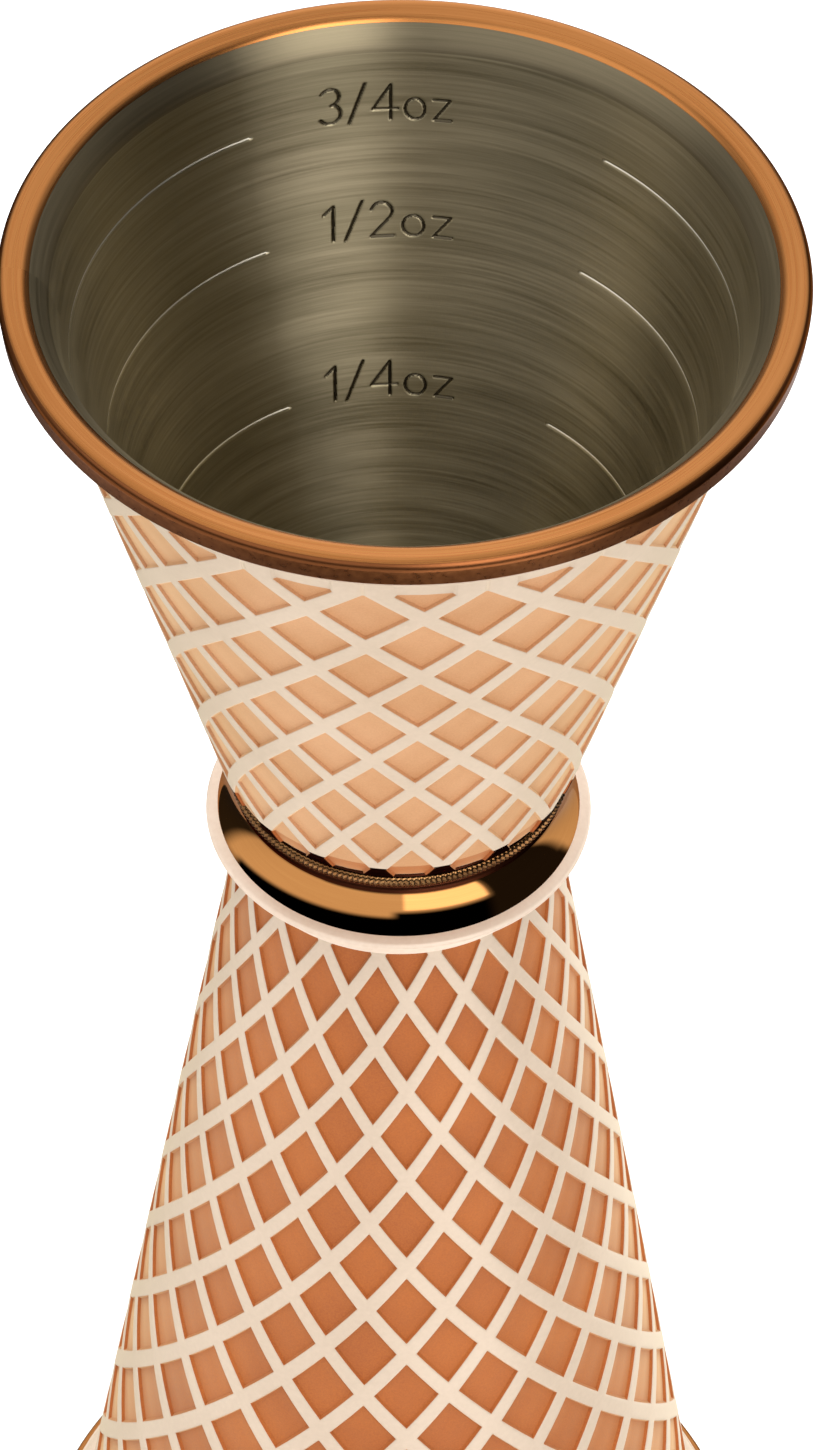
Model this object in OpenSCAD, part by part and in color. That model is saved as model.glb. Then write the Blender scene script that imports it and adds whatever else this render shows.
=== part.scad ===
// Two-ended bar jigger: two steel measuring cups in copper shells, joined at a flared collar.
// The origin is the centre of the lower mouth, on the surface it stands on. Millimetres, +Z up.

/* [Overall] */
// Height over both rims
overall_height = 119.7; // [116:0.1:126]
// Outer radius of both rim beads
rim_radius = 23; // [22.5:0.1:25]
// Height of the top of the lower cone
lower_cone_height = 75; // [74:0.1:77]
// Height of the foot of the upper cone
upper_cone_foot = 81.5; // [81:0.1:84]

/* [Cones] */
// Outer radius of the upper cone at its foot
upper_foot_radius = 10.8; // [10.6:0.05:11.5]
// Outer radius of the upper cone at the top of the rim
upper_mouth_radius = 21.4; // [21.2:0.1:21.6]
// Outer radius of the lower cone at its top
lower_top_radius = 9.3; // [9.2:0.05:9.35]
// Outer radius of the lower cone at the bottom of the rim
lower_mouth_radius = 21.1; // [20.9:0.1:21.5]
// Thickness of each copper shell, measured radially
shell_wall = 0.5; // [0.4:0.05:0.6]
// Thickness of each steel cup, measured radially
liner_wall = 0.4; // [0.3:0.05:0.5]
// Thickness of the closed end of each steel cup
liner_floor = 0.5; // [0.4:0.05:0.8]

/* [Rims] */
// Height of each rim bead
rim_height = 1.2; // [1:0.1:1.4]
// Height of the plain band under the upper bead
band_height = 1.3; // [1:0.1:1.6]
// How far the plain band stays inside the rim bead's outer radius
band_inset = 0.8; // [0.6:0.05:1]
// Height of the flare that joins the plain band to the cone
band_flare = 0.9; // [0.7:0.1:1.2]

/* [Waist] */
// Outer radius of the collar's flared foot
collar_radius = 11.5; // [11.3:0.05:12]
// Radius of the collar's polished neck
neck_radius = 9.95; // [9.9:0.05:10.1]
// Height of the collar's rolled edge
collar_edge_height = 0.8; // [0.7:0.05:0.9]
// Radius of the collar's bore, which holds the upper spigot and the core
socket_radius = 9.3; // [9.2:0.05:9.4]
// Depth of the upper cup's spigot below the foot of its cone
spigot_depth = 3; // [2.6:0.1:3.2]
// Thickness of each brazing disc
braze_thickness = 0.15; // [0.1:0.01:0.2]
// Outer radius of the knurled ring
knurl_radius = 10.25; // [10.2:0.05:10.4]
// Height of the knurled ring
knurl_height = 0.6; // [0.5:0.05:0.8]
// Height of the middle of the knurled ring
knurl_level = 79.65; // [79.5:0.05:79.8]
// Plain neck between the knurled ring and the cove
knurl_gap = 0.75; // [0.6:0.05:0.9]
// Flat step between the cove and the middle of the rolled edge
cove_step = 0.3; // [0.2:0.05:0.4]
// Outer radius of the trim ring under the collar
neck_ring_radius = 9.95; // [9.9:0.05:10.1]
// Height of the trim ring under the collar
neck_ring_height = 1.9; // [1.7:0.1:2.2]
// Chamfer along the bottom of the trim ring
neck_ring_chamfer = 0.25; // [0.1:0.05:0.3]

/* [Hidden] */
$fn = 96;

// Levels
upper_bead_base = overall_height - rim_height;
band_base = upper_bead_base - band_height;
flare_base = band_base - band_flare;
spigot_base = upper_cone_foot - spigot_depth;
edge_level = lower_cone_height + collar_edge_height / 2;
edge_top = lower_cone_height + collar_edge_height;
cove_top = knurl_level - knurl_height / 2 - knurl_gap;

// Slopes of the cones: radius gained per millimetre away from the waist
upper_slope = (upper_mouth_radius - upper_foot_radius) / (overall_height - upper_cone_foot);
lower_slope = (lower_mouth_radius - lower_top_radius) / lower_cone_height;

// Radii that follow from the driving dimensions
rim_round = rim_height / 2;
rim_arc_radius = rim_radius - rim_round;
band_radius = rim_radius - band_inset;
edge_round = collar_edge_height / 2;
edge_arc_radius = collar_radius - edge_round;
// The cove is an arc that leaves the neck upright and meets the top of the rolled edge
cove_width = edge_arc_radius - neck_radius - cove_step;
cove_drop = cove_top - edge_top;
cove_arc = (cove_width * cove_width + cove_drop * cove_drop) / (2 * cove_width);
// The lower flare mirrors the upper one, so both rims have the same plain band above or below them
lower_bead_top = rim_height;
lower_band_top = lower_bead_top + band_height;
lower_flare_top = lower_band_top + band_flare;

// Outer radius of the upper cone, less an inward offset, at height z
function upper_radius(z, inset = 0) = upper_foot_radius + upper_slope * (z - upper_cone_foot) - inset;

// Outer radius of the lower cone, less an inward offset, at height z
function lower_radius(z, inset = 0) = lower_top_radius + lower_slope * (lower_cone_height - z) - inset;

// Steel cup of the upper side: a cone that narrows to a spigot at its closed end
module upper_liner() {
    ledge_top = upper_cone_foot + liner_floor;
    inner_inset = shell_wall + liner_wall;
    color("lightslategray")
    rotate_extrude()
    polygon([
        [0, spigot_base],
        [socket_radius, spigot_base],
        [socket_radius, upper_cone_foot],
        [upper_radius(upper_cone_foot, shell_wall), upper_cone_foot],
        [upper_radius(overall_height, shell_wall), overall_height],
        [upper_radius(overall_height, inner_inset), overall_height],
        [upper_radius(ledge_top, inner_inset), ledge_top],
        [socket_radius - liner_wall, ledge_top],
        [socket_radius - liner_wall, spigot_base + liner_floor],
        [0, spigot_base + liner_floor]
    ]);
}

// Copper cone of the upper side, which flares to a plain band under the rim bead
module upper_shell() {
    color("peru")
    rotate_extrude()
    polygon([
        [upper_radius(upper_cone_foot, shell_wall), upper_cone_foot],
        [upper_radius(upper_cone_foot), upper_cone_foot],
        [upper_radius(flare_base), flare_base],
        [band_radius, band_base],
        [band_radius, upper_bead_base],
        [upper_radius(upper_bead_base, shell_wall), upper_bead_base]
    ]);
}

// Copper bead around the upper mouth: flat inside, round outside
module upper_rim() {
    color("sienna")
    rotate_extrude() {
        polygon([
            [upper_radius(upper_bead_base, shell_wall), upper_bead_base],
            [rim_arc_radius, upper_bead_base],
            [rim_arc_radius, overall_height],
            [upper_radius(overall_height, shell_wall), overall_height]
        ]);
        translate([rim_arc_radius, overall_height - rim_round])
        circle(r = rim_round);
    }
}

// Turned collar: a bored neck that sweeps out in a cove to a rolled edge
module waist_collar() {
    color("goldenrod")
    rotate_extrude() {
        difference() {
            translate([socket_radius, lower_cone_height])
            square([edge_arc_radius - socket_radius, upper_cone_foot - lower_cone_height]);
            cove();
        }
        translate([edge_arc_radius, edge_level])
        circle(r = edge_round);
    }
}

// The space around the collar's neck: straight at the top, then an arc out to the rolled edge
module cove() {
    translate([neck_radius, cove_top])
    square([edge_arc_radius, upper_cone_foot]);
    translate([neck_radius + cove_arc, cove_top])
    circle(r = cove_arc);
}

// Fine knurled ring, a half-round bead drawn at the tips of its teeth
module knurled_ring() {
    color("darkgoldenrod")
    translate([0, 0, knurl_level])
    rotate_extrude()
    intersection() {
        translate([knurl_radius - knurl_height / 2, 0])
        circle(r = knurl_height / 2);
        translate([neck_radius, -knurl_height])
        square([knurl_radius, 2 * knurl_height]);
    }
}

// Brazing metal between the upper cup's spigot and the core
module upper_braze() {
    color("khaki")
    translate([0, 0, spigot_base - braze_thickness])
    cylinder(r = socket_radius, h = braze_thickness);
}

// Solid disc that joins the two cups back to back
module waist_core() {
    core_base = lower_cone_height + braze_thickness;
    color("gray")
    translate([0, 0, core_base])
    cylinder(r = socket_radius, h = spigot_base - braze_thickness - core_base);
}

// Brazing metal between the core and the lower cup
module lower_braze() {
    color("khaki")
    translate([0, 0, lower_cone_height])
    cylinder(r = socket_radius, h = braze_thickness);
}

// Narrow trim ring under the collar, bored to fit the lower cone
module neck_ring() {
    ring_base = lower_cone_height - neck_ring_height;
    color("chocolate")
    rotate_extrude()
    polygon([
        [lower_radius(lower_cone_height), lower_cone_height],
        [lower_radius(ring_base), ring_base],
        [neck_ring_radius - neck_ring_chamfer, ring_base],
        [neck_ring_radius, ring_base + neck_ring_chamfer],
        [neck_ring_radius, lower_cone_height]
    ]);
}

// Copper cone of the lower side, which flares to a plain band over the foot bead
module lower_shell() {
    color("peru")
    rotate_extrude()
    polygon([
        [lower_radius(lower_cone_height, shell_wall), lower_cone_height],
        [lower_radius(lower_cone_height), lower_cone_height],
        [lower_radius(lower_flare_top), lower_flare_top],
        [band_radius, lower_band_top],
        [band_radius, lower_bead_top],
        [lower_radius(lower_bead_top, shell_wall), lower_bead_top]
    ]);
}

// Steel cup of the lower side: a plain cone, closed at the waist
module lower_liner() {
    floor_base = lower_cone_height - liner_floor;
    inner_inset = shell_wall + liner_wall;
    color("lightslategray")
    rotate_extrude()
    polygon([
        [0, lower_cone_height],
        [lower_radius(lower_cone_height, shell_wall), lower_cone_height],
        [lower_radius(0, shell_wall), 0],
        [lower_radius(0, inner_inset), 0],
        [lower_radius(floor_base, inner_inset), floor_base],
        [0, floor_base]
    ]);
}

// Copper bead around the lower mouth, which is the foot: flat underneath, round outside
module lower_rim() {
    color("sienna")
    rotate_extrude() {
        polygon([
            [lower_radius(0, shell_wall), 0],
            [rim_arc_radius, 0],
            [rim_arc_radius, lower_bead_top],
            [lower_radius(lower_bead_top, shell_wall), lower_bead_top]
        ]);
        translate([rim_arc_radius, rim_round])
        circle(r = rim_round);
    }
}

upper_rim();
upper_shell();
upper_liner();
knurled_ring();
waist_collar();
upper_braze();
waist_core();
lower_braze();
neck_ring();
lower_shell();
lower_liner();
lower_rim();
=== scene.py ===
import math

import bmesh
import bpy
import numpy as np
from mathutils import Matrix, Vector


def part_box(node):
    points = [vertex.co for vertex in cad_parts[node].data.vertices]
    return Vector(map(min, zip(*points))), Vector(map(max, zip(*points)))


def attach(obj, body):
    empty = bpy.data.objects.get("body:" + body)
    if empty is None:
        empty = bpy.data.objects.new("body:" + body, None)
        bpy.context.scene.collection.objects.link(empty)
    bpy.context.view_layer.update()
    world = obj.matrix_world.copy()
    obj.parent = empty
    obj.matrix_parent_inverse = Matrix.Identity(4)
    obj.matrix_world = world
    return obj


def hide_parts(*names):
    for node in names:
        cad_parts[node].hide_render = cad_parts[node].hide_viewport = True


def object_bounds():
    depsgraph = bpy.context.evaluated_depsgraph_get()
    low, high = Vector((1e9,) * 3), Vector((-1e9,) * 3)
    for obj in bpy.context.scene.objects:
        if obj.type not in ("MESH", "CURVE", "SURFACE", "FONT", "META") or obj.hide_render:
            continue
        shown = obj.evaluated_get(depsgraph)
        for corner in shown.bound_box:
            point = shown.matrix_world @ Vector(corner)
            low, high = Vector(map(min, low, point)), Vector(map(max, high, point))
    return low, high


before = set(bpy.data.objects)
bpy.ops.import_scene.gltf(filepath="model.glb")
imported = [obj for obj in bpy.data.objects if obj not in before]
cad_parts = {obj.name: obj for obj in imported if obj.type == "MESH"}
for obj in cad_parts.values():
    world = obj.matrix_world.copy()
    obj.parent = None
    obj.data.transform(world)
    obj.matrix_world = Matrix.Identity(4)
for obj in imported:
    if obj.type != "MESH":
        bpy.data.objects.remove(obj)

CAD_BOX = [list(corner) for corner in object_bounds()]
MM = 0.001
BODY = "root"

# ---------------------------------------------------------------- driving values, in metres and degrees

# Lattice: strips each way round a cone, and the share of a cell that its pocket takes
STRIPS = 18
POCKET_SHARE = 0.76
POCKET_DEPTH = 0.24 * MM
# The wall of a pocket: distance outside the pocket's edge as a share of a cell, and share of the full depth.
# POCKET_MIDDLE is the last grid line before the middle, which keeps the pocket's bottom round.
POCKET_WALL = [(0.035, 0.0), (0.012, 0.06), (0.0, 0.2), (-0.045, 0.94), (-0.07, 1.0)]
POCKET_MIDDLE = 0.23
PAINTED_DEPTH = 0.3
UPPER_ROW_PITCH = 3.327 * MM
LOWER_ROW_PITCH = 3.476 * MM
# The first full row of pockets, measured from the flare of the upper cone and from the collar
UPPER_FIRST_ROW = 4.85 * MM
LOWER_FIRST_ROW = 5.82 * MM
UPPER_PHASE = 3.97
LOWER_PHASE = 3.56
# The upper cone's lip below its CAD foot, which curls in a little, and its band in the lower cone's copper,
# darkened with painted shade: near-black copper on its strips
FOOT_LIP = 0.8 * MM
FOOT_CURL_HEIGHT = 0.75 * MM
FOOT_CURL_IN = 0.04 * MM
FOOT_CURL_STEPS = 8
FOOT_BAND = 0.2 * MM
# Plain margins at the other ends of the lattices
UPPER_TOP_MARGIN = 2.4 * MM
LOWER_TOP_MARGIN = 0.35 * MM
LOWER_FOOT_MARGIN = 0.3 * MM

# The plain band beside each rim bead, and the flare between it and the cone, as in the CAD
BAND_HEIGHT = 1.3 * MM
FLARE_HEIGHT = 0.9 * MM
# How far the flare and the rounded corners of the band bulge, as a share of their chords
FLARE_BULGE = 0.12
BAND_BULGE = 0.2
# The closed end of each steel cup, as in the CAD, and the plain or rounded foot of its wall
CUP_FLOOR = 0.5 * MM
FLOOR_ROUND = 1.2 * MM
# Distances below which two points are one: on the flat grid, counted in cells, and on the rolled-up piece
FLAT_MERGE = 1e-5
ROLLED_MERGE = 2e-6
LEVEL_MATCH = 1e-6
# A gap or overlap too small to see, and the rounding of the plain bands
TINY = 0.01 * MM
ROUND_EDGE = 0.18 * MM

# Measuring lines inside the upper cup, as heights above its foot, with their labels
LINES = [("3/4oz", 32.65 * MM), ("1/2oz", 25.25 * MM), ("1/4oz", 15.0 * MM)]
LINE_GAP_START = 143.0
LINE_GAP_END = 208.5
LABEL_ANGLE = 183.8
LABEL_CAP_HEIGHT = 2.15 * MM
LABEL_WIDTH = 7.7 * MM
LABEL_DROP = 0.35 * MM
LABEL_HALF_SPAN = 17.0
GROOVE_WIDTH = 0.24 * MM
GROOVE_DEPTH = 0.1 * MM
ETCH_START = 0.03 * MM
# The grid of the engraved wall: steps behind the labels, at the ends of the lines and elsewhere
LABEL_ANGLE_STEP = 0.19
LINE_END_STEP = 0.3
LINE_END_REACH = 1.2
WIDE_ANGLE_STEP = 2.0
LABEL_HEIGHT_STEP = 0.058 * MM
LABEL_CLEARANCE = 0.4 * MM
WIDE_HEIGHTS = 40

# Each bead: the rise of its crown, its width, how far its outer face leans in towards the back, the sweep of
# its shoulder and the rounding of its corners
BEAD_CROWN = 0.1 * MM
BEAD_WIDTH = 1.9 * MM
BEAD_TAPER = 0.2 * MM
BEAD_SHOULDER_SWEEP = math.radians(48)
BEAD_LOW_ROUND = 0.16 * MM
BEAD_HIGH_ROUND = 0.45 * MM
BEAD_CROWN_ROUND = 1.2 * MM
BEAD_STEPS = 10
# How far the bead comes down over the plain band
BEAD_SKIRT = 0.5 * MM
# How far a face looks towards the open side where the bead's painted shade begins on its turn, where darker
# painted shade begins on its outer edge, and where its unshaded back begins
BEAD_TURN_SHADE_TILT = 0.88
BEAD_EDGE_SHADE_TILT = 0.05
BEAD_SHADE_BACK_TILT = -0.5
# Each cup's lip: how far it lies under the bead's crown, its thickness there, how deep its flare starts and
# how sharply that opens
LIP_DROP = 0.36 * MM
LIP_SHEET = 0.06 * MM
LIP_START = 1.7 * MM
LIP_CURVE = 1.35
LIP_STEPS = 8
# The collar's rolled edge, the width of the land on top of it and the neck under the knurl, as in the CAD
COLLAR_EDGE = 0.8 * MM
COLLAR_LAND = 0.7 * MM
KNURL_GAP = 0.75 * MM
# The fall of the collar's land, the rounding of its edge, and the hollows on both sides of the knurled ring
COLLAR_FALL = 0.22 * MM
COLLAR_ROUND = 0.32 * MM
COLLAR_TOP_LAND = 0.25 * MM
COLLAR_LOW_LAND = 0.2 * MM
COLLAR_HOLLOW = -0.22
COVE_STEPS = 24
# The knurled ring: its teeth, how deep they are and how far it reaches past its CAD ring on each side
KNURL_TEETH = 200
KNURL_TOOTH_DEPTH = 0.12 * MM
KNURL_TOOTH_POINTS = 4
KNURL_SPREAD = 0.1 * MM
KNURL_STEPS = 10
# The trim ring at the top of the lower cone: the height of its bead and the step above it
TRIM_BEAD = 0.62 * MM
TRIM_STEP = 0.14 * MM
TRIM_SLOPE = 0.08 * MM
TRIM_BEAD_ROUND = 0.22 * MM
TRIM_TOP_ROUND = 0.1 * MM

# Points around the axis of the bright turned pieces and of the plain ones
FINE_TURN = 256
PLAIN_TURN = 192

# Turned grain: how quickly it changes around the axis, per radian, and across it, per metre
FINE_RINGS = (1.6, 5200)
BROAD_RINGS = (0.9, 420)
# Slow drift in the tone of cast metal, per metre
TONE_DRIFT = 160
# Sheen on the matt copper, warm like the metal
SHEEN_TINT = (1.0, 0.88, 0.5, 1)
SHEEN_ROUGHNESS = 0.45

# Camera: the long lens of a product photograph, from above the rim
CAMERA_ELEVATION = 46.99
CAMERA_ROLL = 0.73
CAMERA_DISTANCE = 536.8 * MM
CAMERA_LENS_MM = 223.45
CAMERA_AIM_HEIGHT = 76.5 * MM
CAMERA_SIDE = 0.5 * MM
CAMERA_RISE = 4.06 * MM

# The floor and the wide overhead light: place, aim, size and watts
FLOOR_RADIUS = 0.9
OVERHEAD_PLACE = (0.0, 0.15, 0.75)
OVERHEAD_AIM = (0, 0, 0.06)
OVERHEAD_SIZE = (0.7, 0.7)
OVERHEAD_POWER = 9

# Studio: zones of azimuth from the front towards +X (None is all round), zones of elevation and soft edge, in
# degrees, and brightness. Later zones lie over earlier ones.
TABLE_BRIGHTNESS = 1.12
STUDIO = [
    ((95, 200), (-60, 0), 10, 1.1),
    ((-200, -95), (-60, 0), 10, 1.1),
    ((-170, -112), (-62, 22), 6, 0.04),
    (None, (-90, -60), 6, 1.35),
    (None, (4, 100), 10, 0.52),
    ((-100, -8), (24, 70), 5, 1.4),
    ((148, 200), (36, 58), 4, 1.05),
    ((-200, -148), (36, 58), 4, 1.05),
    ((120, 200), (60, 82), 4, 0.6),
    ((-200, -120), (60, 82), 4, 1.15),
    (None, (-72, -47), 3, 0.12),
    ((160, 200), (8, 36), 5, 1.6),
    ((-200, -160), (8, 36), 5, 1.6),
    ((100, 170), (-4, 30), 6, 0.1),
    ((-170, -100), (-4, 26), 6, 0.25),
    ((-100, 108), (-7, 24), 4, 0.0),
    ((-2, 108), (-15, 0), 4, 0.0),
    ((54, 108), (-62, 64), 5, 0.02),
    ((4, 54), (-46, -18), 2, 2.8),
    ((-52, 56), (-88, -47), 3, 0.0),
    ((8, 46), (26, 70), 4, 4.8),
]


# ---------------------------------------------------------------- reading the frame

def span(node):
    """The lowest and highest height of a CAD node."""
    low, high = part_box(node)
    return low[2], high[2]


def wall(node, height, inside=False):
    """The radius of a turned CAD node's outer wall at a height, or of its inner wall."""
    reach = 2 * CAD_BOX[1][0]
    start = Vector((0 if inside else reach, 0, height))
    towards = Vector((1 if inside else -1, 0, 0))
    hit, place, _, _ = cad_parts[node].ray_cast(start, towards)
    if not hit:
        raise ValueError(f"{node} has no wall at {height}")
    return place.x


def cone(node, low, high, inside=False):
    """The radius as a function of height on the straight wall of a CAD node that runs between two heights."""
    margin = 0.1 * (high - low)
    ends = [(height, wall(node, height, inside)) for height in (low + margin, high - margin)]
    return line_between(*ends)


def line_between(low, high):
    """The radius as a function of height on the straight line between two (height, radius) points."""
    slope = (high[1] - low[1]) / (high[0] - low[0])
    return lambda height: low[1] + slope * (height - low[0])


# ---------------------------------------------------------------- materials

class Nodes:
    """A node tree, with a short way to add and join nodes."""

    def __init__(self, tree):
        self.tree = tree

    def add(self, kind, **values):
        node = self.tree.nodes.new(kind)
        for key, value in values.items():
            if hasattr(node, key):
                setattr(node, key, value)
            else:
                node.inputs[key.replace("_", " ")].default_value = value
        return node

    def join(self, source, target):
        self.tree.links.new(source, target)

    def feed(self, value, socket):
        """Sets a plain number on a socket, or joins an output to it."""
        if isinstance(value, bpy.types.NodeSocket):
            self.join(value, socket)
        else:
            socket.default_value = value

    def math(self, operation, *values):
        node = self.add("ShaderNodeMath", operation=operation)
        for socket, value in zip(node.inputs, values):
            self.feed(value, socket)
        return node.outputs[0]

    def mix(self, share, first, second):
        """The first number where share is 0 and the second where it is 1."""
        node = self.add("ShaderNodeMix", data_type="FLOAT")
        self.feed(share, node.inputs["Factor"])
        self.feed(first, node.inputs["A"])
        self.feed(second, node.inputs["B"])
        return node.outputs["Result"]

    def ramp(self, source, *stops):
        node = self.add("ShaderNodeValToRGB")
        elements = node.color_ramp.elements
        while len(elements) < len(stops):
            elements.new(0.5)
        for element, (place, colour) in zip(elements, stops):
            element.position = place
            element.color = colour if len(colour) == 4 else (*colour, 1)
        self.join(source, node.inputs["Fac"])
        return node.outputs["Color"]


class MaterialNodes(Nodes):
    """The node tree of a new material, with its shader."""

    def __init__(self, name):
        self.material = bpy.data.materials.new(name)
        self.material.use_nodes = True
        super().__init__(self.material.node_tree)
        self.shader = self.tree.nodes["Principled BSDF"]


def grey(value):
    return (value, value, value, 1)


def turned_coordinates(nodes, around, across):
    """A texture vector that changes slowly around the Z axis and quickly across it, for a turned grain."""
    place = nodes.add("ShaderNodeTexCoord").outputs["Object"]
    split = nodes.add("ShaderNodeSeparateXYZ")
    nodes.join(place, split.inputs[0])
    x, y, z = split.outputs
    radius = nodes.math("SQRT", nodes.math("ADD", nodes.math("MULTIPLY", x, x), nodes.math("MULTIPLY", y, y)))
    turn = nodes.math("ARCTAN2", y, x)
    joined = nodes.add("ShaderNodeCombineXYZ")
    nodes.join(nodes.math("MULTIPLY", turn, around), joined.inputs[0])
    nodes.join(nodes.math("MULTIPLY", radius, across), joined.inputs[1])
    nodes.join(nodes.math("MULTIPLY", z, across), joined.inputs[2])
    return joined.outputs[0]


def noise(nodes, vector, scale, detail=2.0, roughness=0.5):
    node = nodes.add("ShaderNodeTexNoise", Scale=scale, Detail=detail, Roughness=roughness)
    nodes.join(vector, node.inputs["Vector"])
    return node.outputs["Fac"]


def bump(nodes, height, strength, distance):
    node = nodes.add("ShaderNodeBump", Strength=strength, Distance=distance)
    nodes.join(height, node.inputs["Height"])
    nodes.join(node.outputs["Normal"], nodes.shader.inputs["Normal"])


def radial_tangent(nodes):
    tangent = nodes.add("ShaderNodeTangent", direction_type="RADIAL", axis="Z")
    nodes.join(tangent.outputs[0], nodes.shader.inputs["Tangent"])


def brushed_metal(name, dark, light, rough_low, rough_high, anisotropy, grain_depth, edge_tint=1.0):
    """Metal brushed around the Z axis: fine rings in colour, gloss and height."""
    nodes = MaterialNodes(name)
    vector = turned_coordinates(nodes, *FINE_RINGS)
    fine = noise(nodes, vector, 1.0, 3.0, 0.65)
    broad = noise(nodes, turned_coordinates(nodes, *BROAD_RINGS), 1.0, 2.0)
    mixed = nodes.math("ADD", nodes.math("MULTIPLY", fine, 0.6), nodes.math("MULTIPLY", broad, 0.4))
    nodes.join(nodes.ramp(mixed, (0.3, dark), (0.7, light)), nodes.shader.inputs["Base Color"])
    nodes.join(nodes.ramp(mixed, (0.3, grey(rough_low)), (0.7, grey(rough_high))),
               nodes.shader.inputs["Roughness"])
    nodes.shader.inputs["Metallic"].default_value = 1
    nodes.shader.inputs["Anisotropic"].default_value = anisotropy
    nodes.shader.inputs["Anisotropic Rotation"].default_value = 0.25
    nodes.shader.inputs["Specular Tint"].default_value = grey(edge_tint)
    radial_tangent(nodes)
    bump(nodes, fine, 0.35, grain_depth)
    return nodes.material


def cast_metal(name, dark, light, rough_low, rough_high, grain_scale, grain_depth, metallic=1.0, sheen=0.0,
               gloss=0.5):
    """Metal with an even grain: a fine speckle in colour, gloss and height, over a slow drift in tone."""
    nodes = MaterialNodes(name)
    place = nodes.add("ShaderNodeTexCoord").outputs["Object"]
    fine = noise(nodes, place, grain_scale, 3.0, 0.6)
    drift = noise(nodes, place, TONE_DRIFT, 2.0)
    mixed = nodes.math("ADD", nodes.math("MULTIPLY", fine, 0.55), nodes.math("MULTIPLY", drift, 0.45))
    nodes.join(nodes.ramp(mixed, (0.35, dark), (0.65, light)), nodes.shader.inputs["Base Color"])
    nodes.join(nodes.ramp(fine, (0.3, grey(rough_low)), (0.7, grey(rough_high))),
               nodes.shader.inputs["Roughness"])
    nodes.shader.inputs["Metallic"].default_value = metallic
    nodes.shader.inputs["Specular IOR Level"].default_value = gloss
    nodes.shader.inputs["Sheen Weight"].default_value = sheen
    nodes.shader.inputs["Sheen Roughness"].default_value = SHEEN_ROUGHNESS
    nodes.shader.inputs["Sheen Tint"].default_value = SHEEN_TINT
    bump(nodes, fine, 0.5, grain_depth)
    return nodes.material


def make_materials():
    """Every look by its name: two tones, a range of roughness, and the kind and depth of its grain."""
    return {
        "bead": brushed_metal("bead_copper", (0.42, 0.15, 0.037), (0.60, 0.25, 0.078), 0.22, 0.34, 0.5, 6e-6),
        # Darker copies of the bead copper: painted shade on the bead's outer turn and, darker still, on its
        # outer edge
        "bead_turn_painted_shade": brushed_metal("bead_turn_painted_shade_copper", (0.17, 0.055, 0.018), (0.27, 0.095, 0.032), 0.28, 0.36,
                                   0.5, 3e-6, edge_tint=0.4),
        "bead_edge_painted_shade": cast_metal("bead_edge_painted_shade_copper", (0.24, 0.078, 0.024), (0.36, 0.128, 0.042), 0.26, 0.34,
                                2600, 1.5e-6, metallic=0.92, gloss=0.05),
        "strip": cast_metal("strip_copper", (0.545, 0.425, 0.32), (0.60, 0.475, 0.365), 0.42, 0.5,
                            2600, 1.5e-6, metallic=0.2, sheen=0.2),
        "upper_pocket": cast_metal("upper_pocket_copper", (0.475, 0.20, 0.07), (0.59, 0.285, 0.135),
                                   0.46, 0.62, 9000, 9e-6, metallic=0.3, sheen=0.5),
        "lower_pocket": cast_metal("lower_pocket_copper", (0.315, 0.077, 0.016), (0.435, 0.121, 0.023),
                                   0.46, 0.62, 9000, 9e-6, metallic=0.2, sheen=0.5, gloss=0.2),
        "steel": brushed_metal("cup_steel", (0.27, 0.23, 0.138), (0.48, 0.405, 0.265), 0.34, 0.5, 0.9, 6e-6),
        # A darker copy of the cup steel: painted shade on the lip under the bead's shoulder
        "lip": brushed_metal("lip_steel_painted_shade", (0.20, 0.165, 0.10), (0.34, 0.28, 0.18), 0.36, 0.5, 0.9, 6e-6,
                             edge_tint=0.4),
        # A lighter copy of the cup steel in the measuring lines' grooves: the grooves are real cuts, their
        # lightness is a painted highlight
        "line_highlight": brushed_metal("line_highlight_steel", (0.62, 0.57, 0.45), (0.80, 0.75, 0.62), 0.34, 0.44,
                                 0.0, 2e-6),
        "etch": cast_metal("etched_steel", (0.06, 0.05, 0.03), (0.11, 0.09, 0.06), 0.45, 0.6, 9000, 3e-6),
        "collar": brushed_metal("collar_polish", (0.52, 0.22, 0.065), (0.58, 0.26, 0.08), 0.03, 0.05,
                                0.0, 2e-7, edge_tint=0.5),
        # A near-black copy of the copper: painted shade in the collar's neck and grooves and on the strips at
        # the upper cone's foot
        "painted_recess_shade": brushed_metal("painted_recess_shade_copper", (0.05, 0.012, 0.006), (0.09, 0.025, 0.011), 0.25, 0.35,
                                0.3, 3e-6, edge_tint=0.2),
        "edge": cast_metal("edge_polish", (0.76, 0.60, 0.47), (0.82, 0.67, 0.54), 0.42, 0.5,
                           2600, 4e-7, metallic=0.2),
        "knurl": cast_metal("knurl_brass", (0.14, 0.055, 0.018), (0.34, 0.18, 0.07), 0.22, 0.3, 6000, 2e-6),
        "core": brushed_metal("core_steel", (0.42, 0.42, 0.43), (0.56, 0.56, 0.57), 0.3, 0.45, 0.4, 6e-6),
        "braze": cast_metal("braze_metal", (0.60, 0.48, 0.26), (0.76, 0.64, 0.38), 0.35, 0.5, 5000, 8e-6),
    }


# ---------------------------------------------------------------- mesh helpers

def on_axis(radius, angle, height):
    """A point at an angle in degrees around the Z axis, counted from the front (-Y) towards +X."""
    turn = math.radians(angle)
    return Vector((radius * math.sin(turn), -radius * math.cos(turn), height))


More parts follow.
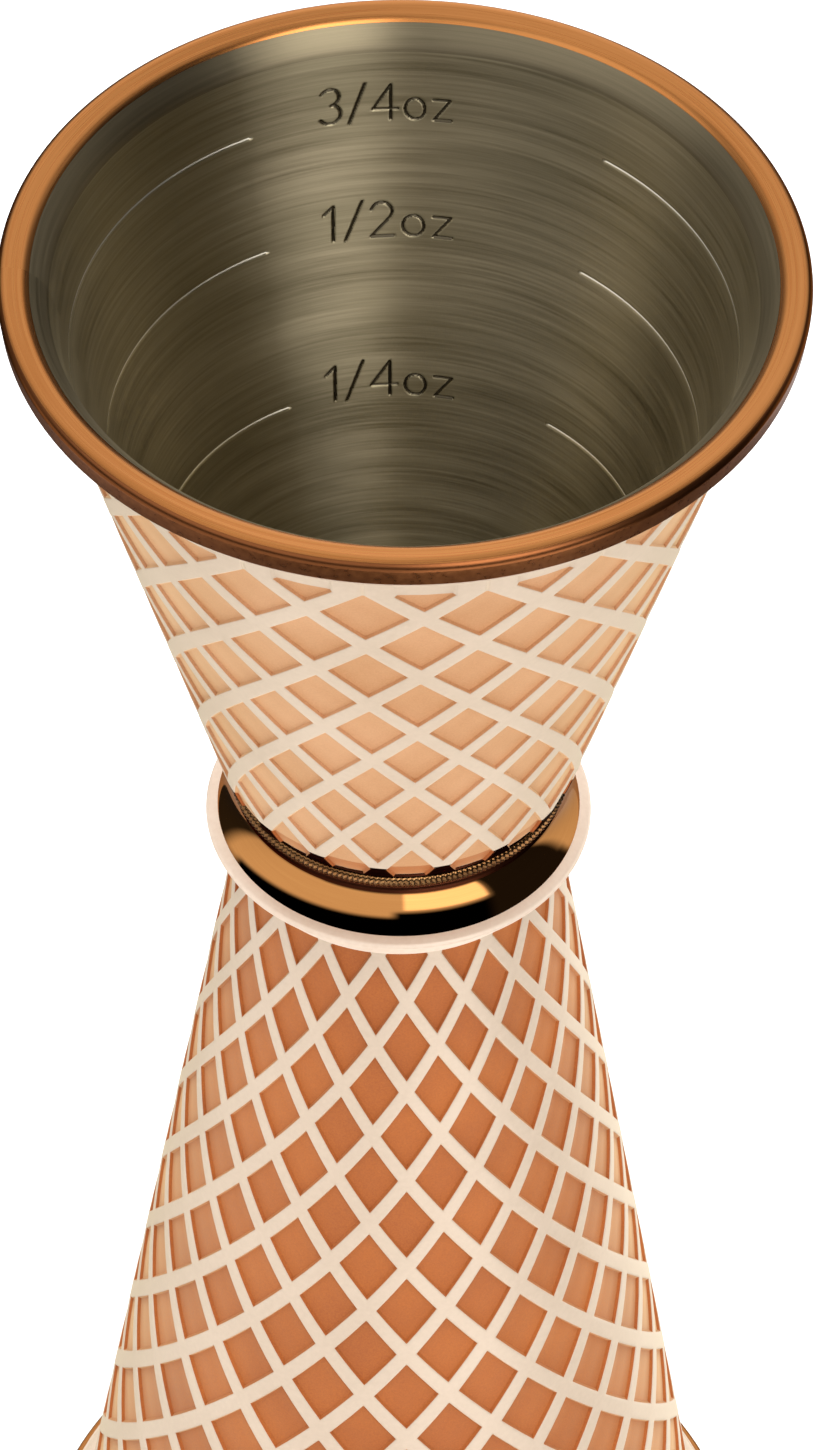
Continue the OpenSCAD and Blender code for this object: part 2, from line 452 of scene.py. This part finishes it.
def fillet(points, sizes, steps=6):
    """A closed (radius, height) outline with each corner rounded by its own size. Size 0 stays sharp."""
    outline = []
    count = len(points)
    for index, size in enumerate(sizes):
        corner = Vector(points[index])
        if size == 0:
            outline.append(tuple(corner))
            continue
        back = (Vector(points[index - 1]) - corner).normalized()
        ahead = (Vector(points[(index + 1) % count]) - corner).normalized()
        half = back.angle(ahead) / 2
        reach = size / math.tan(half)
        centre = corner + (back + ahead).normalized() * (size / math.sin(half))
        start = corner + back * reach - centre
        end = corner + ahead * reach - centre
        sweep = start.angle_signed(end)
        for step in range(steps + 1):
            part = Matrix.Rotation(-sweep * step / steps, 2)
            outline.append(tuple(centre + part @ start))
    return outline


def new_piece(name, bm, materials, smooth_angle=32):
    """Turns a bmesh into a piece with smooth faces and sharp creases, riding on the one body."""
    bmesh.ops.recalc_face_normals(bm, faces=bm.faces)
    mesh = bpy.data.meshes.new(name)
    bm.to_mesh(mesh)
    bm.free()
    for material in materials:
        mesh.materials.append(material)
    mesh.shade_smooth()
    mesh.set_sharp_from_angle(angle=math.radians(smooth_angle))
    piece = bpy.data.objects.new(name, mesh)
    bpy.context.scene.collection.objects.link(piece)
    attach(piece, BODY)
    return piece


def turn_outline(bm, outline, angles, shift=None):
    """Sweeps a closed (radius, height) outline round the Z axis. shift moves single points in radius."""
    rings = []
    for index, (radius, height) in enumerate(outline):
        if radius < 1e-7:
            rings.append([bm.verts.new((0, 0, height))] * len(angles))
            continue
        moved = shift(index, height) if shift else None
        radii = radius + moved if moved is not None else [radius] * len(angles)
        rings.append([bm.verts.new(on_axis(r, angle, height)) for r, angle in zip(radii, angles)])
    for index, ring in enumerate(rings):
        following = rings[(index + 1) % len(rings)]
        for column in range(len(angles)):
            beside = (column + 1) % len(angles)
            corners = [ring[column], ring[beside], following[beside], following[column]]
            distinct = list(dict.fromkeys(corners))
            if len(distinct) > 2:
                bm.faces.new(distinct)
    return rings


def even_angles(count):
    return [360 * index / count for index in range(count)]


def turned_piece(name, outline, material):
    bm = bmesh.new()
    turn_outline(bm, outline, even_angles(PLAIN_TURN))
    return new_piece(name, bm, [material])


# ---------------------------------------------------------------- the lattice cones

def cell_lines():
    """Grid lines across one cell, from -1 to 1, with the pocket's rounded edge and wall close together."""
    pocket_wall = [POCKET_SHARE + outside for outside, _ in POCKET_WALL]
    half = [1.0, (1 + POCKET_SHARE) / 2] + pocket_wall + [POCKET_MIDDLE]
    return [-value for value in half] + half[::-1]


def pocket_sink(reach):
    """How far the surface sinks at a distance from the middle of a cell: 0 on the strip, 1 in the pocket."""
    steps = [(POCKET_SHARE + outside, sunk) for outside, sunk in POCKET_WALL]
    if reach >= steps[0][0]:
        return 0.0
    for (far, low), (near, high) in zip(steps, steps[1:]):
        if reach >= near:
            return low + (high - low) * (far - reach) / (far - near)
    return 1.0


def lattice_sheet(radius_at, first_row, row_pitch, phase, low, high, extra_cuts=()):
    """The outer face of a lattice cone between two heights, made flat as (turn, height), then rolled up."""
    bm = bmesh.new()
    lines = cell_lines()
    rows = range(int((low - first_row) / row_pitch) - 1, int((high - first_row) / row_pitch) + 2)
    sink = bm.verts.layers.float.new("sink")
    for row in rows:
        for column in range(STRIPS):
            middle = (column + 0.5 * ((row + 1) % 2), row)
            add_cell(bm, sink, middle, lines)
    bmesh.ops.remove_doubles(bm, verts=bm.verts, dist=FLAT_MERGE)
    cuts = [(low, -1, True), (high, 1, True)] + [(height, 1, False) for height in extra_cuts]
    for height, outward, trim in cuts:
        cut = (height - first_row) / row_pitch
        everything = list(bm.verts) + list(bm.edges) + list(bm.faces)
        bmesh.ops.bisect_plane(bm, geom=everything, dist=1e-6, plane_co=(0, cut, 0),
                               plane_no=(0, outward, 0), clear_outer=trim)
    for vertex in bm.verts:
        height = first_row + vertex.co.y * row_pitch
        angle = phase + vertex.co.x * 360 / STRIPS
        vertex.co = on_axis(radius_at(height) + vertex.co.z * POCKET_DEPTH, angle, height)
    bmesh.ops.remove_doubles(bm, verts=bm.verts, dist=ROLLED_MERGE)
    return bm


def add_cell(bm, sink, middle, lines):
    """One lozenge cell, flat: x counts columns, y counts rows, z is minus the sink. Slot 1 is the pocket."""
    grid = []
    for across in lines:
        strip = []
        for along in lines:
            depth = pocket_sink(max(abs(across), abs(along)))
            column = middle[0] + 0.25 * (across + along)
            row = middle[1] + 0.5 * (across - along)
            vertex = bm.verts.new((column, row, -depth))
            vertex[sink] = depth
            strip.append(vertex)
        grid.append(strip)
    for i in range(len(lines) - 1):
        for j in range(len(lines) - 1):
            corners = (grid[i][j], grid[i + 1][j], grid[i + 1][j + 1], grid[i][j + 1])
            face = bm.faces.new(corners)
            face.material_index = 1 if max(corner[sink] for corner in corners) > PAINTED_DEPTH else 0


def open_loop(bm, height):
    return [edge for edge in bm.edges
            if edge.is_boundary and all(abs(vertex.co.z - height) < LEVEL_MATCH for vertex in edge.verts)]


def sweep_loop(bm, loop, path):
    """Extends an open loop through (radius, height) points, keeping every point's place round the axis."""
    for radius, height in path:
        made = bmesh.ops.extrude_edge_only(bm, edges=loop)["geom"]
        for vertex in (item for item in made if isinstance(item, bmesh.types.BMVert)):
            now = math.hypot(vertex.co.x, vertex.co.y)
            vertex.co = Vector((vertex.co.x * radius / now, vertex.co.y * radius / now, height))
        for face in (item for item in made if isinstance(item, bmesh.types.BMFace)):
            face.material_index = 0
        loop = [item for item in made if isinstance(item, bmesh.types.BMEdge)]
    return loop


def lattice_cone(name, bm, low, high, low_path, high_path, finishes):
    """Closes a lattice sheet into a shell: both ends are swept round to the inside and bridged there."""
    low_loop = sweep_loop(bm, open_loop(bm, low), low_path)
    high_loop = sweep_loop(bm, open_loop(bm, high), high_path)
    bmesh.ops.bridge_loops(bm, edges=low_loop + high_loop)
    return new_piece(name, bm, finishes, 40)


def arc_path(start, end, bulge, steps=5):
    """Points on a shallow arc in (radius, height). bulge is its height as a share of its chord."""
    start, end = Vector(start), Vector(end)
    chord = end - start
    side = Vector((-chord.y, chord.x)) * bulge
    shares = [step / steps for step in range(1, steps + 1)]
    return [tuple(start + chord * share + side * 4 * share * (1 - share)) for share in shares]


def upper_lattice(materials):
    foot, top = span("upper_shell")
    band = top - BAND_HEIGHT
    flare = band - FLARE_HEIGHT
    straight_at = cone("upper_shell", foot, flare)
    inner_at = cone("upper_shell", foot, top, inside=True)
    band_radius = wall("upper_shell", top - TINY)
    high = flare - UPPER_TOP_MARGIN
    lip = foot - FOOT_LIP
    curl_start = lip + FOOT_CURL_HEIGHT

    def radius_at(height):
        share = max(0, (curl_start - height) / FOOT_CURL_HEIGHT)
        return straight_at(height) - FOOT_CURL_IN * share ** 2

    cuts = [lip + FOOT_CURL_HEIGHT * step / FOOT_CURL_STEPS for step in range(1, FOOT_CURL_STEPS + 1)]
    cuts.append(foot + FOOT_BAND)
    bm = lattice_sheet(radius_at, flare - UPPER_FIRST_ROW, UPPER_ROW_PITCH, UPPER_PHASE, lip, high, cuts)
    low_path = [(inner_at(foot), lip), (inner_at(foot), foot)]
    high_path = [(radius_at(flare), flare)]
    high_path += arc_path(high_path[0], (band_radius - ROUND_EDGE, band), -FLARE_BULGE)
    high_path += arc_path(high_path[-1], (band_radius, band + ROUND_EDGE), -BAND_BULGE)
    high_path += [(band_radius, top - ROUND_EDGE)]
    high_path += arc_path(high_path[-1], (band_radius - ROUND_EDGE, top), -BAND_BULGE)
    high_path += [(inner_at(top), top)]
    # Painted shade on the foot band: strips take the near-black copper, pockets the lower cone's darker
    # copper
    for face in bm.faces:
        if face.calc_center_median().z < foot + FOOT_BAND:
            face.material_index += 2
    finishes = [materials["strip"], materials["upper_pocket"], materials["painted_recess_shade"], materials["lower_pocket"]]
    return lattice_cone("upper_lattice", bm, lip, high, low_path, high_path, finishes)


def lower_lattice(materials):
    base, top = span("lower_shell")
    band = base + BAND_HEIGHT
    flare = band + FLARE_HEIGHT
    radius_at = cone("lower_shell", flare, top)
    inner_at = cone("lower_shell", base, top, inside=True)
    band_radius = wall("lower_shell", base + TINY)
    low = flare + LOWER_FOOT_MARGIN
    high = span("neck_ring")[0] - LOWER_TOP_MARGIN
    bm = lattice_sheet(radius_at, top - LOWER_FIRST_ROW, LOWER_ROW_PITCH, LOWER_PHASE, low, high)
    low_path = [(radius_at(flare), flare)]
    low_path += arc_path(low_path[0], (band_radius - ROUND_EDGE, band), FLARE_BULGE)
    low_path += arc_path(low_path[-1], (band_radius, band - ROUND_EDGE), BAND_BULGE)
    low_path += [(band_radius, base + ROUND_EDGE)]
    low_path += arc_path(low_path[-1], (band_radius - ROUND_EDGE, base), BAND_BULGE)
    low_path += [(inner_at(base), base)]
    high_path = [(radius_at(top), top), (inner_at(top), top)]
    finishes = [materials["strip"], materials["lower_pocket"]]
    return lattice_cone("lower_lattice", bm, low, high, low_path, high_path, finishes)


# ---------------------------------------------------------------- engraving

def arc(cx, cy, rx, ry, start, end, steps=10):
    """Points on an ellipse in letter space, with angles in degrees counted anticlockwise from the right."""
    turns = [math.radians(start + (end - start) * step / steps) for step in range(steps + 1)]
    return [(cx + rx * math.cos(turn), cy + ry * math.sin(turn)) for turn in turns]


# Each sign as strokes in letter space, where 1 is the height of a digit, with its width
SIGNS = {
    "1": (0.42, [[(0.06, 0.78), (0.3, 1.0), (0.3, 0.0)]]),
    "2": (0.62, [arc(0.3, 0.72, 0.26, 0.28, 165, -38) + [(0.04, 0.0), (0.6, 0.0)]]),
    "3": (0.6, [arc(0.27, 0.76, 0.25, 0.24, 150, -80) + arc(0.27, 0.27, 0.29, 0.27, 80, -150)]),
    "4": (0.68, [[(0.5, 0.0), (0.5, 1.0), (0.03, 0.3), (0.68, 0.3)]]),
    "/": (0.46, [[(0.02, -0.06), (0.44, 1.06)]]),
    "o": (0.6, [arc(0.3, 0.3, 0.26, 0.3, 90, 450, 20)]),
    "z": (0.5, [[(0.03, 0.58), (0.47, 0.58), (0.03, 0.0), (0.49, 0.0)]]),
}
SIGN_SPACE = 0.16


def label_strokes(text):
    """The strokes of a label in metres, centred on 0 across and standing on 0, as pairs of end points."""
    width = sum(SIGNS[sign][0] for sign in text) + SIGN_SPACE * (len(text) - 1)
    stretch = LABEL_WIDTH / width
    segments = []
    pen = 0.0
    for sign in text:
        advance, strokes = SIGNS[sign]
        for stroke in strokes:
            places = [((pen + x) * stretch - LABEL_WIDTH / 2, y * LABEL_CAP_HEIGHT) for x, y in stroke]
            segments += list(zip(places, places[1:]))
        pen += advance + SIGN_SPACE
    return np.array(segments)


def distance_to(segments, points):
    """The distance from each point to the nearest of the segments."""
    start = segments[None, :, 0, :]
    along = segments[None, :, 1, :] - start
    offset = points[:, None, :] - start
    share = np.clip((offset * along).sum(-1) / (along ** 2).sum(-1), 0, 1)
    return np.sqrt(((offset - share[..., None] * along) ** 2).sum(-1)).min(1)


def groove(distance):
    """The depth of a round-bottomed groove at a distance from its middle."""
    reach = np.clip(distance / (GROOVE_WIDTH / 2), 0, 1)
    return GROOVE_DEPTH * (0.5 + 0.5 * np.cos(math.pi * reach))


def label_angles():
    """Angles round the cup in degrees: close together behind the labels and at the line ends."""
    half = LABEL_HALF_SPAN
    line_ends = (LINE_GAP_START, LINE_GAP_END)
    dense = np.arange(LABEL_ANGLE - half, LABEL_ANGLE + half, LABEL_ANGLE_STEP)
    ends = [np.arange(end - LINE_END_REACH, end + LINE_END_REACH, LINE_END_STEP) for end in line_ends]
    wide = [angle for angle in np.arange(0, 360, WIDE_ANGLE_STEP)
            if abs(angle - LABEL_ANGLE) > half + 0.5
            and all(abs(angle - end) > WIDE_ANGLE_STEP for end in line_ends)]
    return sorted(set(np.round(np.concatenate([dense, *ends, wide]), 4)))


def engraved_heights(foot, low, high):
    """Heights up the cup wall: close together where the labels and lines are cut, wide elsewhere."""
    step = LABEL_HEIGHT_STEP
    heights = set(np.round(np.linspace(low, high, WIDE_HEIGHTS), 7))
    for _, level in LINES:
        base = foot + level - LABEL_DROP
        end = base + LABEL_CAP_HEIGHT + LABEL_CLEARANCE
        heights |= set(np.round(np.arange(base - LABEL_CLEARANCE, end, step), 7))
    ordered = sorted(heights)
    kept = [ordered[0]]
    for height in ordered[1:]:
        if height - kept[-1] > 0.6 * step:
            kept.append(height)
    return kept


def engraving(foot, radius_at, angles):
    """A function that gives how deep the wall is cut at one height, for every angle."""
    angles = np.array(angles)
    strokes = {text: label_strokes(text) for text, _ in LINES}

    def cut(height):
        depth = np.zeros(len(angles))
        for text, level in LINES:
            line = foot + level
            outside = (angles < LINE_GAP_START) | (angles > LINE_GAP_END)
            past_end = np.minimum(abs(angles - LINE_GAP_START), abs(angles - LINE_GAP_END))
            sideways = np.where(outside, 0, np.radians(past_end) * radius_at(height))
            depth = np.maximum(depth, groove(np.hypot(sideways, height - line)))
            across = np.radians(LABEL_ANGLE - angles) * radius_at(height)
            near = abs(across) < LABEL_WIDTH * 0.6
            if near.any() and -1 * MM < height - line < LABEL_CAP_HEIGHT + 1 * MM:
                places = np.stack([across[near], np.full(near.sum(), height - line + LABEL_DROP)], -1)
                depth[near] = np.maximum(depth[near], groove(distance_to(strokes[text], places)))
        return depth

    return cut


# ---------------------------------------------------------------- the cups

def upper_cup(materials):
    base, top = span("upper_liner")
    foot, _ = span("upper_shell")
    floor = base + CUP_FLOOR
    ledge = foot + CUP_FLOOR
    socket = wall("upper_liner", base + TINY)
    spigot_inner = wall("upper_liner", floor + TINY, inside=True)
    outer_at = cone("upper_liner", foot, top)
    inner_at = cone("upper_liner", ledge, top, inside=True)
    angles = label_angles()
    cut = engraving(foot, inner_at, angles)
    brim = top - LIP_START
    heights = engraved_heights(foot, ledge + FLOOR_ROUND, brim)
    wall_points = [(inner_at(height), height) for height in heights]
    outline = [(0, base), (socket, base), (socket, foot), (outer_at(foot), foot)]
    outline += flared_lip("upper_rim", outer_at, inner_at, 1)
    outline += wall_points[::-1]
    outline += [(inner_at(ledge), ledge), (spigot_inner, ledge), (spigot_inner, floor), (0, floor)]
    engraved = {index for index, point in enumerate(outline) if point in set(wall_points)}

    def shift(index, height):
        return cut(height) if index in engraved else None

    bm = bmesh.new()
    turn_outline(bm, outline, angles, shift)
    for face in bm.faces:
        place = face.calc_center_median()
        # The flared lip above the brim gets the darker steel: painted shade under the bead
        if place.z > brim:
            face.material_index = 3
        sunk = math.hypot(place.x, place.y) - inner_at(place.z)
        # Groove faces behind the labels take the dark etch; those of the measuring lines take the lighter
        # steel, a painted highlight
        if ledge < place.z < brim and ETCH_START < sunk < 2 * GROOVE_DEPTH:
            face.material_index = 1 if near_label(place) else 2
    finishes = [materials["steel"], materials["etch"], materials["line_highlight"], materials["lip"]]
    return new_piece("upper_cup", bm, finishes, 50)


def flared_lip(rim, outer_at, lining_at, open_side):
    """The outline of a cup's lip, from its back at the bead to its top at the bead's shoulder."""
    front, back = open_and_back(rim, open_side)
    lip_top, lip_low = lip_levels(front, open_side)
    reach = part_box(rim)[1][0] - BEAD_WIDTH
    brim = front - open_side * LIP_START
    start = lining_at(brim)
    outline = [(outer_at(back), back), (reach, lip_low)]
    for step in range(LIP_STEPS):
        share = 1 - step / LIP_STEPS
        outline.append((start + (reach - start) * share ** LIP_CURVE, brim + (lip_top - brim) * share))
    return outline


def near_label(place):
    """Whether a point on the cup wall is within reach of the column of labels."""
    angle = math.degrees(math.atan2(place.x, -place.y)) % 360
    return abs(angle - LABEL_ANGLE) < LABEL_HALF_SPAN


def lower_cup(materials):
    base, top = span("lower_liner")
    floor = top - CUP_FLOOR
    outer_at = cone("lower_liner", base, top)
    inner_at = cone("lower_liner", base, floor, inside=True)
    brim = base + LIP_START
    points = [(0, top), (outer_at(top), top)] + flared_lip("lower_rim", outer_at, inner_at, -1)
    points += [(inner_at(brim), brim), (inner_at(floor), floor), (0, floor)]
    outline = fillet(points, [0] * (len(points) - 2) + [FLOOR_ROUND, 0])
    return turned_piece("lower_cup", outline, materials["steel"])


# ---------------------------------------------------------------- rims, collar and small rings

def rim_bead(name, node, liner, shell, open_side, materials):
    """A copper bead with a shallow crown on its open side, rounded down to the flared lip of its cup."""
    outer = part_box(node)[1][0]
    wall_at = cone(liner, *span(node))
    front, back = open_and_back(node, open_side)
    crown_end = front - open_side * BEAD_CROWN
    lip_top, lip_low = lip_levels(front, open_side)
    skirt = back - open_side * BEAD_SKIRT
    seat = wall(shell, back - open_side * TINY) - TINY
    lip = outer - BEAD_WIDTH + TINY
    shoulder_round = (lip_top - crown_end) * -open_side / (1 - math.cos(BEAD_SHOULDER_SWEEP))
    shoulder = lip + shoulder_round * math.sin(BEAD_SHOULDER_SWEEP)
    points = [(wall_at(back) + TINY, back), (seat, back), (seat, skirt), (outer - BEAD_TAPER, skirt),
              (outer, crown_end), ((outer + shoulder) / 2, front), (shoulder, crown_end)]
    outline = fillet(points, [0, 0, 0, BEAD_LOW_ROUND, BEAD_HIGH_ROUND, BEAD_CROWN_ROUND, 0], BEAD_STEPS)
    for step in range(1, BEAD_STEPS + 1):
        turn = BEAD_SHOULDER_SWEEP * step / BEAD_STEPS
        sunk = shoulder_round * (1 - math.cos(turn))
        outline.append((shoulder - shoulder_round * math.sin(turn), crown_end - open_side * sunk))
    outline.append((lip, lip_low))
    bm = bmesh.new()
    turn_outline(bm, outline, even_angles(FINE_TURN))
    bmesh.ops.recalc_face_normals(bm, faces=bm.faces)
    # Painted shade: outer faces that turn away from the open side get a darker copy of the copper, and the
    # outer edge a darker one still
    for face in bm.faces:
        place = face.calc_center_median()
        outside = math.hypot(place.x, place.y) > outer - BEAD_HIGH_ROUND
        tilt = face.normal.z * open_side
        if outside and BEAD_SHADE_BACK_TILT < tilt < BEAD_TURN_SHADE_TILT:
            face.material_index = 2 if tilt < BEAD_EDGE_SHADE_TILT else 1
    return new_piece(name, bm, [materials["bead"], materials["bead_turn_painted_shade"], materials["bead_edge_painted_shade"]])


def open_and_back(rim, open_side):
    """The heights of a rim's open side and of its back. open_side is 1 for upward and -1 for downward."""
    low, high = span(rim)
    return (high, low) if open_side > 0 else (low, high)


def lip_levels(front, open_side):
    """The height of a cup's lip on its open side and on its back, where it meets the bead."""
    return front - open_side * LIP_DROP, front - open_side * (LIP_DROP + LIP_SHEET)


def collar(materials):
    """The polished neck, its cove and the rolled edge, with a groove on each side of the knurled ring."""
    low, high = span("waist_collar")
    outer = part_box("waist_collar")[1][0]
    bore = wall("waist_collar", high - TINY, inside=True)
    neck = wall("waist_collar", high - TINY)
    knurl_low, knurl_high = span("knurled_ring")
    cove_top = knurl_low - KNURL_GAP
    top = low + COLLAR_EDGE
    cove_end = (outer - COLLAR_LAND, top)
    drop = cove_top - cove_end[1]
    width = cove_end[0] - neck
    arc_radius = (width * width + drop * drop) / (2 * width)
    sweep = math.asin(drop / arc_radius)
    turns = [sweep * step / COVE_STEPS for step in range(COVE_STEPS + 1)]
    cove = [(neck + arc_radius * (1 - math.cos(turn)), cove_top - arc_radius * math.sin(turn))
            for turn in turns]
    edge = fillet([(cove_end[0] + TINY, top), (outer, top - COLLAR_FALL), (outer, low)],
                  [0, COLLAR_ROUND, 0.5 * COLLAR_ROUND], 12)
    top_groove = arc_path((neck, high - COLLAR_TOP_LAND), (neck, knurl_high), COLLAR_HOLLOW, 12)
    low_groove = arc_path((neck, knurl_low), (neck, cove_top + COLLAR_LOW_LAND), COLLAR_HOLLOW, 8)
    outline = [(bore, low), (bore, high), (neck, high), (neck, high - COLLAR_TOP_LAND)] + top_groove
    outline += [(neck, knurl_low)] + low_groove + cove + edge
    bm = bmesh.new()
    turn_outline(bm, outline, even_angles(FINE_TURN))
    # The rolled edge gets the pale edge copper. The neck and the grooves beside the knurl get painted shade,
    # a near-black copy of the copper
    for face in bm.faces:
        place = face.calc_center_median()
        radius = math.hypot(place.x, place.y)
        if radius > cove_end[0] + TINY:
            face.material_index = 1
        elif bore + TINY < radius and place.z > cove_top:
            face.material_index = 2
    return new_piece("collar", bm, [materials["collar"], materials["edge"], materials["painted_recess_shade"]], 30)


def knurl(materials):
    low, high = span("knurled_ring")
    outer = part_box("knurled_ring")[1][0]
    middle = (low + high) / 2
    half = (high - low) / 2 + KNURL_SPREAD
    inner = wall("knurled_ring", middle, inside=True)
    count = KNURL_TEETH * KNURL_TOOTH_POINTS
    tooth = np.array([0.5 - 0.5 * math.cos(2 * math.pi * i / KNURL_TOOTH_POINTS) for i in range(count)])
    turns = [math.radians(-90 + 180 * step / KNURL_STEPS) for step in range(KNURL_STEPS + 1)]
    bulge = outer - inner - TINY
    crown = [(outer - bulge + bulge * math.cos(turn), middle + half * math.sin(turn)) for turn in turns]
    outline = [(inner, crown[0][1])] + crown + [(inner, crown[-1][1])]

    def shift(index, height):
        if 1 < index < len(outline) - 2:
            return -KNURL_TOOTH_DEPTH * tooth * math.sqrt(1 - ((height - middle) / half) ** 2)
        return None

    bm = bmesh.new()
    turn_outline(bm, outline, even_angles(count), shift)
    return new_piece("knurl", bm, [materials["knurl"]], 60)


def neck_trim(materials):
    low, high = span("neck_ring")
    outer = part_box("neck_ring")[1][0]
    inner_at = cone("neck_ring", low, high, inside=True)
    waist = outer - TRIM_STEP
    bead_top = low + TRIM_BEAD
    points = [(inner_at(high), high), (inner_at(low), low), (outer, low), (outer, bead_top),
              (waist, bead_top + TRIM_SLOPE), (waist, high)]
    outline = fillet(points, [0, 0, TRIM_BEAD_ROUND, TRIM_TOP_ROUND, 0, 0])
    return turned_piece("neck_trim", outline, materials["edge"])


# ---------------------------------------------------------------- stage, light and camera

def make_floor():
    bm = bmesh.new()
    bmesh.ops.create_circle(bm, cap_ends=True, segments=96, radius=FLOOR_RADIUS)
    mesh = bpy.data.meshes.new("floor")
    bm.to_mesh(mesh)
    bm.free()
    nodes = MaterialNodes("floor_paper")
    place = nodes.add("ShaderNodeTexCoord").outputs["Object"]
    tone = noise(nodes, place, 30, 2.0)
    nodes.join(nodes.ramp(tone, (0.3, grey(0.86)), (0.7, grey(0.9))), nodes.shader.inputs["Base Color"])
    nodes.shader.inputs["Roughness"].default_value = 0.9
    nodes.shader.inputs["Specular IOR Level"].default_value = 0.0
    mesh.materials.append(nodes.material)
    floor = bpy.data.objects.new("floor", mesh)
    bpy.context.scene.collection.objects.link(floor)
    floor.visible_glossy = False
    floor.visible_shadow = False


def make_world():
    """A plain white studio to the camera and to matt surfaces. Gloss sees the soft zones of STUDIO."""
    world = bpy.data.worlds.new("studio")
    bpy.context.scene.world = world
    world.use_nodes = True
    nodes = Nodes(world.node_tree)
    direction = nodes.add("ShaderNodeTexCoord").outputs["Generated"]
    split = nodes.add("ShaderNodeSeparateXYZ")
    nodes.join(direction, split.inputs[0])
    x, y, z = split.outputs
    azimuth = nodes.math("ARCTAN2", x, nodes.math("MULTIPLY", y, -1))
    elevation = nodes.math("ARCSINE", z)
    level = TABLE_BRIGHTNESS
    for azimuths, elevations, softness, brightness in STUDIO:
        mask = window(nodes, elevation, elevations, softness)
        if azimuths:
            mask = nodes.math("MULTIPLY", mask, window(nodes, azimuth, azimuths, softness))
        level = nodes.mix(mask, level, brightness)
    rays = nodes.add("ShaderNodeLightPath").outputs
    plain = nodes.math("MAXIMUM", rays["Is Camera Ray"], rays["Is Diffuse Ray"])
    background = nodes.tree.nodes["Background"]
    nodes.join(nodes.mix(plain, level, 1.0), background.inputs["Strength"])
    background.inputs["Color"].default_value = grey(1.0)


def window(nodes, angle, limits, softness):
    """1 where an angle in radians lies between two limits in degrees, falling softly to 0 at both."""
    low, high = limits
    sides = []
    for middle, direction in ((low, 1), (high, -1)):
        edge = nodes.add("ShaderNodeMapRange", interpolation_type="SMOOTHSTEP")
        nodes.join(angle, edge.inputs["Value"])
        edge.inputs["From Min"].default_value = math.radians(middle - direction * softness)
        edge.inputs["From Max"].default_value = math.radians(middle + direction * softness)
        sides.append(edge.outputs["Result"])
    return nodes.math("MULTIPLY", *sides)


def make_overhead():
    data = bpy.data.lights.new("overhead", "AREA")
    data.shape = "RECTANGLE"
    data.size, data.size_y = OVERHEAD_SIZE
    data.energy = OVERHEAD_POWER
    light = bpy.data.objects.new("overhead", data)
    light.location = OVERHEAD_PLACE
    towards = Vector(OVERHEAD_AIM) - Vector(OVERHEAD_PLACE)
    light.rotation_euler = towards.to_track_quat("-Z", "Y").to_euler()
    light.visible_glossy = False
    bpy.context.scene.collection.objects.link(light)


def make_camera():
    elevation = math.radians(CAMERA_ELEVATION)
    roll = math.radians(CAMERA_ROLL)
    right = Vector((1, 0, 0))
    up = Vector((0, math.sin(elevation), math.cos(elevation)))
    back = Vector((0, -math.cos(elevation), math.sin(elevation)))
    aim = Vector((0, 0, CAMERA_AIM_HEIGHT)) + CAMERA_SIDE * right + CAMERA_RISE * up
    rolled_right = math.cos(roll) * right + math.sin(roll) * up
    rolled_up = math.cos(roll) * up - math.sin(roll) * right
    data = bpy.data.cameras.new("camera")
    data.lens = CAMERA_LENS_MM
    data.clip_start = 0.05
    camera = bpy.data.objects.new("camera", data)
    turn = Matrix((rolled_right, rolled_up, back)).transposed().to_4x4()
    camera.matrix_world = Matrix.Translation(aim + CAMERA_DISTANCE * back) @ turn
    bpy.context.scene.collection.objects.link(camera)
    bpy.context.scene.camera = camera


# ---------------------------------------------------------------- build

def main():
    materials = make_materials()
    pieces = [
        (rim_bead("upper_bead", "upper_rim", "upper_liner", "upper_shell", 1, materials),
         "upper_rim", "copper_bead"),
        (upper_lattice(materials), "upper_shell", "copper_lattice"),
        (upper_cup(materials), "upper_liner", "steel_cup"),
        (knurl(materials), "knurled_ring", "knurl"),
        (collar(materials), "waist_collar", "collar_polish"),
        (neck_trim(materials), "neck_ring", "copper_bead"),
        (lower_lattice(materials), "lower_shell", "copper_lattice"),
        (lower_cup(materials), "lower_liner", "steel_cup"),
        (rim_bead("lower_bead", "lower_rim", "lower_liner", "lower_shell", -1, materials),
         "lower_rim", "copper_bead"),
    ]
    for piece, node, slot in pieces:
        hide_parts(node)
    for node, look in (("waist_core", "core"), ("upper_braze", "braze"), ("lower_braze", "braze")):
        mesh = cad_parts[node].data
        mesh.materials.clear()
        mesh.materials.append(materials[look])
    make_floor()
    make_world()
    make_overhead()
    bpy.context.scene.view_settings.view_transform = "Standard"
    make_camera()


main()
